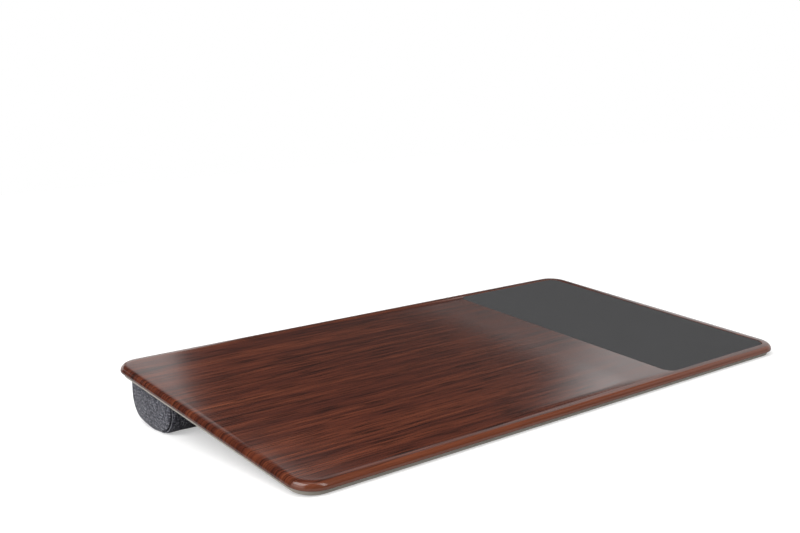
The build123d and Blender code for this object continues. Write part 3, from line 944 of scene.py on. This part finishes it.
# Nylon coil: drawn thread, wound and heat-set, dark and a little glossy
coil_cloud = 0.003
coil_stops = [(0.3, linear("313137")), (0.7, linear("45454d"))]
coil_finish = cloudy_finish(
    "dark_nylon_coil", {"IOR": 1.53}, coil_cloud, detail=2, stops=coil_stops, smooth=0.3, rough=0.5
)


def rounded_bar(size, radius):
    """A bar that stands on the origin, with its edges rounded."""
    shape = bmesh.new()
    bmesh.ops.create_cube(shape, size=1, matrix=Matrix.Diagonal((*size, 1)))
    bmesh.ops.bevel(shape, geom=shape.edges, offset=radius, segments=2, profile=0.5, affect="EDGES")
    bmesh.ops.translate(shape, verts=shape.verts, vec=(0, 0, size[2] / 2))
    return shape


for row, row_low, row_high, stagger in (
    ("upper", upper_teeth_low, upper_teeth_high, tooth_pitch / 4),
    ("lower", lower_teeth_low, lower_teeth_high, -tooth_pitch / 4),
):
    tape_low, tape_high = lies(f"zip_tape_{row}")
    tape_shape = soft_slab(
        Vector((-tape_high.x, tape_low.z - zip_line, tape_low.y - zip_base)),
        Vector((-tape_low.x, tape_high.z - zip_line, tape_high.y - zip_base)),
        3 * tape_edge, tape_edge,
    )
    tape_mesh = mesh_of(tape_shape, f"zip_tape_{row}_weave")
    tape_mesh.transform(from_behind)
    tape = make_piece(f"zip_tape_{row}_weave", tape_mesh, tape_finish)
    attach(tape, "desk")
    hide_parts(f"zip_tape_{row}")

    row_span = row_high - row_low
    tooth = rounded_bar((tooth_length, row_span.z, row_span.y), tooth_round)
    teeth_mesh = grown(f"zip_coil_{row}", rows, {
        "Shape": pattern_of(tooth, "tooth"), "Columns": int(row_span.x / tooth_pitch) - 1, "Rows": 1,
        "Column pitch": tooth_pitch, "Row pitch": 0.0, "Most turn": 0.0, "Seed": 3, "Finish": coil_finish,
    })
    teeth_middle = (row_low.z + row_high.z) / 2 - zip_line
    teeth_mesh.transform(from_behind @ Matrix.Translation((stagger, teeth_middle, 0)))
    teeth = make_piece(f"zip_coil_{row}", teeth_mesh, coil_finish, sharp_angle=60)
    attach(teeth, "desk")
    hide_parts(f"zip_teeth_{row}")

# Topstitching: polyester thread, sewn round the zip's slot and along both end seams, where it
# holds the turned cloth flat. Each stitch dips into the cloth at its ends.
stitch_pitch = 0.0034
stitch_length = 0.0027
stitch_radius = 0.00026
stitch_rise = 1.6
stitch_dip = 0.9
stitch_steps = 6
zip_stitch_margin = 0.0014
seam_stitch_margin = 0.0011
stitch_lift = 0.0003
thread_stops = [(0.3, linear("7a7a82")), (0.7, linear("a4a4ac"))]
thread_finish = cloudy_finish(
    "grey_polyester_thread", {"IOR": 1.5, "Sheen Weight": 0.2}, stitch_radius,
    detail=1, stops=thread_stops, smooth=0.6, rough=0.8,
)

stitches, given = new_tree("stitches_along_a_seam", {
    "Seam": "NodeSocketObject", "Stitch": "NodeSocketObject", "Pitch": "NodeSocketFloat",
    "Middle": "NodeSocketVector", "Finish": "NodeSocketMaterial",
})
one = add(stitches, "GeometryNodeObjectInfo", {"Object": given["Stitch"]})["Geometry"]
seam_edges = add(stitches, "GeometryNodeObjectInfo", {"Object": given["Seam"]})["Geometry"]
seam_curve = add(stitches, "GeometryNodeMeshToCurve", {"Mesh": seam_edges})["Curve"]
spaced = add(
    stitches, "GeometryNodeResampleCurve", {"Curve": seam_curve, "Length": given["Pitch"]}, mode="LENGTH"
)["Curve"]
along = add(stitches, "GeometryNodeInputTangent")["Tangent"]
here = add(stitches, "GeometryNodeInputPosition")["Position"]
outward = add(stitches, "ShaderNodeVectorMath", {0: here, 1: given["Middle"]}, operation="SUBTRACT")["Vector"]
laid = add(stitches, "FunctionNodeAlignRotationToVector", {"Vector": along}, axis="X")["Rotation"]
laid = add(
    stitches, "FunctionNodeAlignRotationToVector", {"Rotation": laid, "Vector": outward},
    axis="Z", pivot_axis="X",
)["Rotation"]
set_on_points(stitches, spaced, one, laid, given["Finish"])


def stitch_shape():
    """One stitch along the first axis, which rises over the cloth and dips at its ends."""
    shape = bmesh.new()
    path = []
    for step in range(stitch_steps + 1):
        share = step / stitch_steps
        rise = stitch_radius * (stitch_rise * sin(pi * share) - stitch_dip)
        path.append(Vector((stitch_length * (share - 0.5), 0, rise)))
    thread_along(shape, path, stitch_radius)
    bmesh.ops.recalc_face_normals(shape, faces=shape.faces)
    return shape


def sew(name, path, middle):
    """Topstitching along a closed path on the cloth, whose inside lies towards a middle point."""
    line = bpy.data.meshes.new(name)
    edges = [(number, (number + 1) % len(path)) for number in range(len(path))]
    line.from_pydata(path, edges, [])
    mesh = grown(name, stitches, {
        "Seam": bpy.data.objects.new(name, line), "Stitch": pattern_of(stitch_shape(), "stitch"),
        "Pitch": stitch_pitch, "Middle": middle, "Finish": thread_finish,
    })
    made = make_piece(name, mesh, thread_finish, sharp_angle=60)
    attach(made, "desk")


zip_stitch_x = slot_half_length + zip_stitch_margin
zip_stitch_z = slot_half_width + zip_stitch_margin
zip_path = [
    Vector((x * zip_stitch_x, cover_high.y, zip_line + z * zip_stitch_z))
    for x, z in ((1, 1), (-1, 1), (-1, -1), (1, -1))
]
far_inside = -1.0
sew("zip_topstitching", zip_path, Vector((0, far_inside, zip_line)))
cloth_surface = BVHTree.FromPolygons(
    [vertex.co for vertex in bolster_mesh.vertices], [list(face.vertices) for face in bolster_mesh.polygons]
)
for side, side_name in ((-1, "left"), (1, "right")):
    path = []
    for point in seam_outline:
        outside = (point - end_middle).normalized() * seam_stitch_margin
        on_cloth, upright = cloth_surface.find_nearest(Vector((side * seam_x, *(point + outside))))[:2]
        path.append(on_cloth + upright * stitch_lift)
    sew(f"end_topstitching_{side_name}", path, Vector((0, *end_middle)))

# Zip stops, slider and pull: zinc castings with a dark plated finish. The slider runs on the
# teeth, and the pull swings on the bail over its outer plate.
casting_round = 0.00022
casting_edge = 35
flat_edge = 2
same_point = 1e-6
plating_patch = 0.004
casting_stops = [(0.3, linear("55565a")), (0.7, linear("77787d"))]
casting_finish = cloudy_finish(
    "dark_plated_zinc_casting", {"Metallic": 1.0}, plating_patch,
    detail=5, stops=casting_stops, smooth=0.2, rough=0.45,
)


def cast(node, name, body):
    """A copy of a CAD node as one closed mesh, with its edges rounded as a casting's are."""
    shape = bmesh.new()
    shape.from_mesh(frame["nodes"][node].data)
    bmesh.ops.remove_doubles(shape, verts=shape.verts, dist=same_point)
    bmesh.ops.dissolve_limit(shape, angle_limit=radians(flat_edge), verts=shape.verts, edges=shape.edges)
    shape.transform(board.inverted())
    made = make_piece(name, mesh_of(shape, name), casting_finish, sharp_angle=casting_edge)
    rounding = made.modifiers.new("rounding", "BEVEL")
    rounding.width = casting_round
    rounding.segments = 2
    rounding.limit_method = "ANGLE"
    rounding.angle_limit = radians(casting_edge)
    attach(made, body)
    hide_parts(node)


cast("zip_stops", "zip_end_stops", "desk")
cast("zip_slider", "zip_slider_casting", "slider")
cast("zip_pull", "zip_pull_tab", "pull_tab")

# Studio: a plain white floor that runs out into a white surround, soft lamps on the left, in front,
# overhead and behind, and the camera where the photograph was taken from.
floor_half = 6.0
floor_shape = bmesh.new()
bmesh.ops.create_grid(floor_shape, x_segments=1, y_segments=1, size=floor_half)
floor_mesh = mesh_of(floor_shape, "studio_floor")
floor = bpy.data.objects.new("studio_floor", floor_mesh)
bpy.context.scene.collection.objects.link(floor)
# White paper: it looks white, more so away from the part, but throws little light back at it
near_lift = 0.42
far_lift = 0.85
near_reach = 0.5
far_reach = 1.3
mirrored_share = 0.4
paper_white = linear("d0d0d0")
paper_shade = linear("a0a0a0")
floor_finish, tree = new_finish(
    "white_paper_floor", {"Emission Color": linear("ffffff"), "Specular IOR Level": 0.0}
)
paths = add(tree, "ShaderNodeLightPath")
seen = add(
    tree, "ShaderNodeMath", {0: paths["Is Glossy Ray"], 1: mirrored_share}, operation="MULTIPLY"
)["Value"]
for ray in ("Is Camera Ray", "Is Transmission Ray"):
    seen = add(tree, "ShaderNodeMath", {0: paths[ray], 1: seen}, operation="MAXIMUM")["Value"]
place = add(tree, "ShaderNodeTexCoord")["Object"]
distance = add(tree, "ShaderNodeVectorMath", {0: place}, operation="LENGTH")["Value"]
lift = add(tree, "ShaderNodeMapRange", {
    "Value": distance, "From Min": near_reach, "From Max": far_reach, "To Min": near_lift, "To Max": far_lift,
}, interpolation_type="SMOOTHSTEP")["Result"]
glow = add(tree, "ShaderNodeMath", {0: seen, 1: lift}, operation="MULTIPLY")["Value"]
paper = add(tree, "ShaderNodeMix", {0: seen, 6: paper_shade, 7: paper_white}, data_type="RGBA")[2]
paper_rough = add(tree, "ShaderNodeMapRange", {"Value": distance, "To Min": 0.9, "To Max": 0.95})["Result"]
paint(tree, paper, paper_rough)
tree.links.new(glow, tree.nodes["Principled BSDF"].inputs["Emission Strength"])
floor_mesh.materials.append(floor_finish)

# Surround: white to the eye. It lights the part from all round, most from the left and above. The
# lacquer mirrors a dark room with a white panel behind and another on the right, joined low down.
dome_middle = Vector((-0.35, -0.25, 0.9)).normalized()
dome_low = 0.34
dome_high = 0.75
room_level = 0.06
panel_level = 0.88
white_level = 1.0
surround = bpy.data.worlds.new("white_surround")
surround.use_nodes = True
bpy.context.scene.world = surround
tree = surround.node_tree
tree.nodes.clear()
looking = add(tree, "ShaderNodeTexCoord")["Generated"]
sides = add(tree, "ShaderNodeSeparateXYZ", {"Vector": looking})
off_middle = add(tree, "ShaderNodeVectorMath", {0: looking, 1: dome_middle}, operation="DOT_PRODUCT")["Value"]
dome = add(tree, "ShaderNodeMapRange", {
    "Value": off_middle, "From Min": 0.0, "From Max": 0.9, "To Min": dome_low, "To Max": dome_high,
}, interpolation_type="SMOOTHSTEP")["Result"]
bearing = add(tree, "ShaderNodeMath", {0: sides["X"], 1: sides["Y"]}, operation="ARCTAN2")["Value"]
height = add(tree, "ShaderNodeMath", {0: sides["Z"]}, operation="ARCSINE")["Value"]
# Where each edge of the panels starts and ends, in degrees round from the back or up from the floor
edges = {}
for edge, angle, start, end in (
    ("back_left", bearing, 16, 20), ("back_right", bearing, 27.5, 28.5), ("right_near", bearing, 50.5, 54.5),
    ("right_far", bearing, 110, 140), ("low", height, 4, 9), ("top", height, 35, 39),
):
    edges[edge] = add(tree, "ShaderNodeMapRange", {
        "Value": angle, "From Min": radians(start), "From Max": radians(end),
    }, interpolation_type="SMOOTHSTEP")["Result"]
panels = {}
for panel, first, last in (
    ("back", "back_left", "back_right"), ("right", "right_near", "right_far"),
    ("low", "back_left", "right_far"),
):
    panels[panel] = add(
        tree, "ShaderNodeMath", {0: edges[first], 1: edges[last]}, operation="SUBTRACT"
    )["Value"]
pale = add(tree, "ShaderNodeMath", {0: panels["back"], 1: panels["right"]}, operation="ADD")["Value"]
pale = add(tree, "ShaderNodeMix", {0: edges["low"], 2: panels["low"], 3: pale})[0]
pale = add(tree, "ShaderNodeMath", {0: pale, 1: edges["top"]}, operation="SUBTRACT", use_clamp=True)["Value"]
room = add(tree, "ShaderNodeMapRange", {"Value": pale, "To Min": room_level, "To Max": panel_level})["Result"]
paths = add(tree, "ShaderNodeLightPath")
level = add(tree, "ShaderNodeMix", {0: paths["Is Glossy Ray"], 2: dome, 3: room})[0]
for ray in ("Is Camera Ray", "Is Transmission Ray"):
    level = add(tree, "ShaderNodeMix", {0: paths[ray], 2: level, 3: white_level})[0]
white = add(tree, "ShaderNodeBackground", {"Color": linear("ffffff"), "Strength": level})["Background"]
add(tree, "ShaderNodeOutputWorld", {"Surface": white})

# Each lamp has a place, a width, a height and a power in watts, and faces the part
for name, stand, lamp_width, lamp_height, power in (
    ("left_softbox", (-1.14, -0.1, 1.43), 1.1, 1.1, 20),
    ("left_fill", (-1.9, -0.2, 0.6), 1.6, 0.9, 8),
    ("front_softbox", (0.16, -1.09, 1.15), 0.4, 1.4, 8),
    ("overhead_softbox", (0.0, 0.1, 1.7), 0.6, 0.6, 2),
    ("back_strip_lamp", (1.71, 1.43, 2.05), 2.0, 0.6, 2.4),
    ("back_softbox", (-0.35, 1.9, 0.55), 1.2, 0.8, 4),
):
    lamp_data = bpy.data.lights.new(name, "AREA")
    lamp_data.shape = "RECTANGLE"
    lamp_data.size = lamp_width
    lamp_data.size_y = lamp_height
    lamp_data.energy = power
    lamp = bpy.data.objects.new(name, lamp_data)
    lamp.location = stand
    lamp.rotation_mode = "QUATERNION"
    lamp.rotation_quaternion = (-Vector(stand)).to_track_quat("-Z", "Y")
    bpy.context.scene.collection.objects.link(lamp)

# The camera's place and turn, in the board's own axes
camera_place = Vector((-0.66125, -0.72613, 0.33284))
camera_azimuth = radians(-38.568)
camera_elevation = radians(14.255)
camera_roll = radians(1.627)
camera_data = bpy.data.cameras.new("photo_camera")
camera_data.lens = 47.81
camera_data.sensor_width = 36
camera_data.clip_start = 0.05
camera = bpy.data.objects.new("photo_camera", camera_data)
camera.matrix_world = (
    board @ Matrix.Translation(camera_place) @ Matrix.Rotation(camera_azimuth, 4, "Z")
    @ Matrix.Rotation(pi / 2 - camera_elevation, 4, "X") @ Matrix.Rotation(camera_roll, 4, "Z")
)
bpy.context.scene.collection.objects.link(camera)
bpy.context.scene.camera = camera
bpy.context.scene.view_settings.view_transform = "Standard"
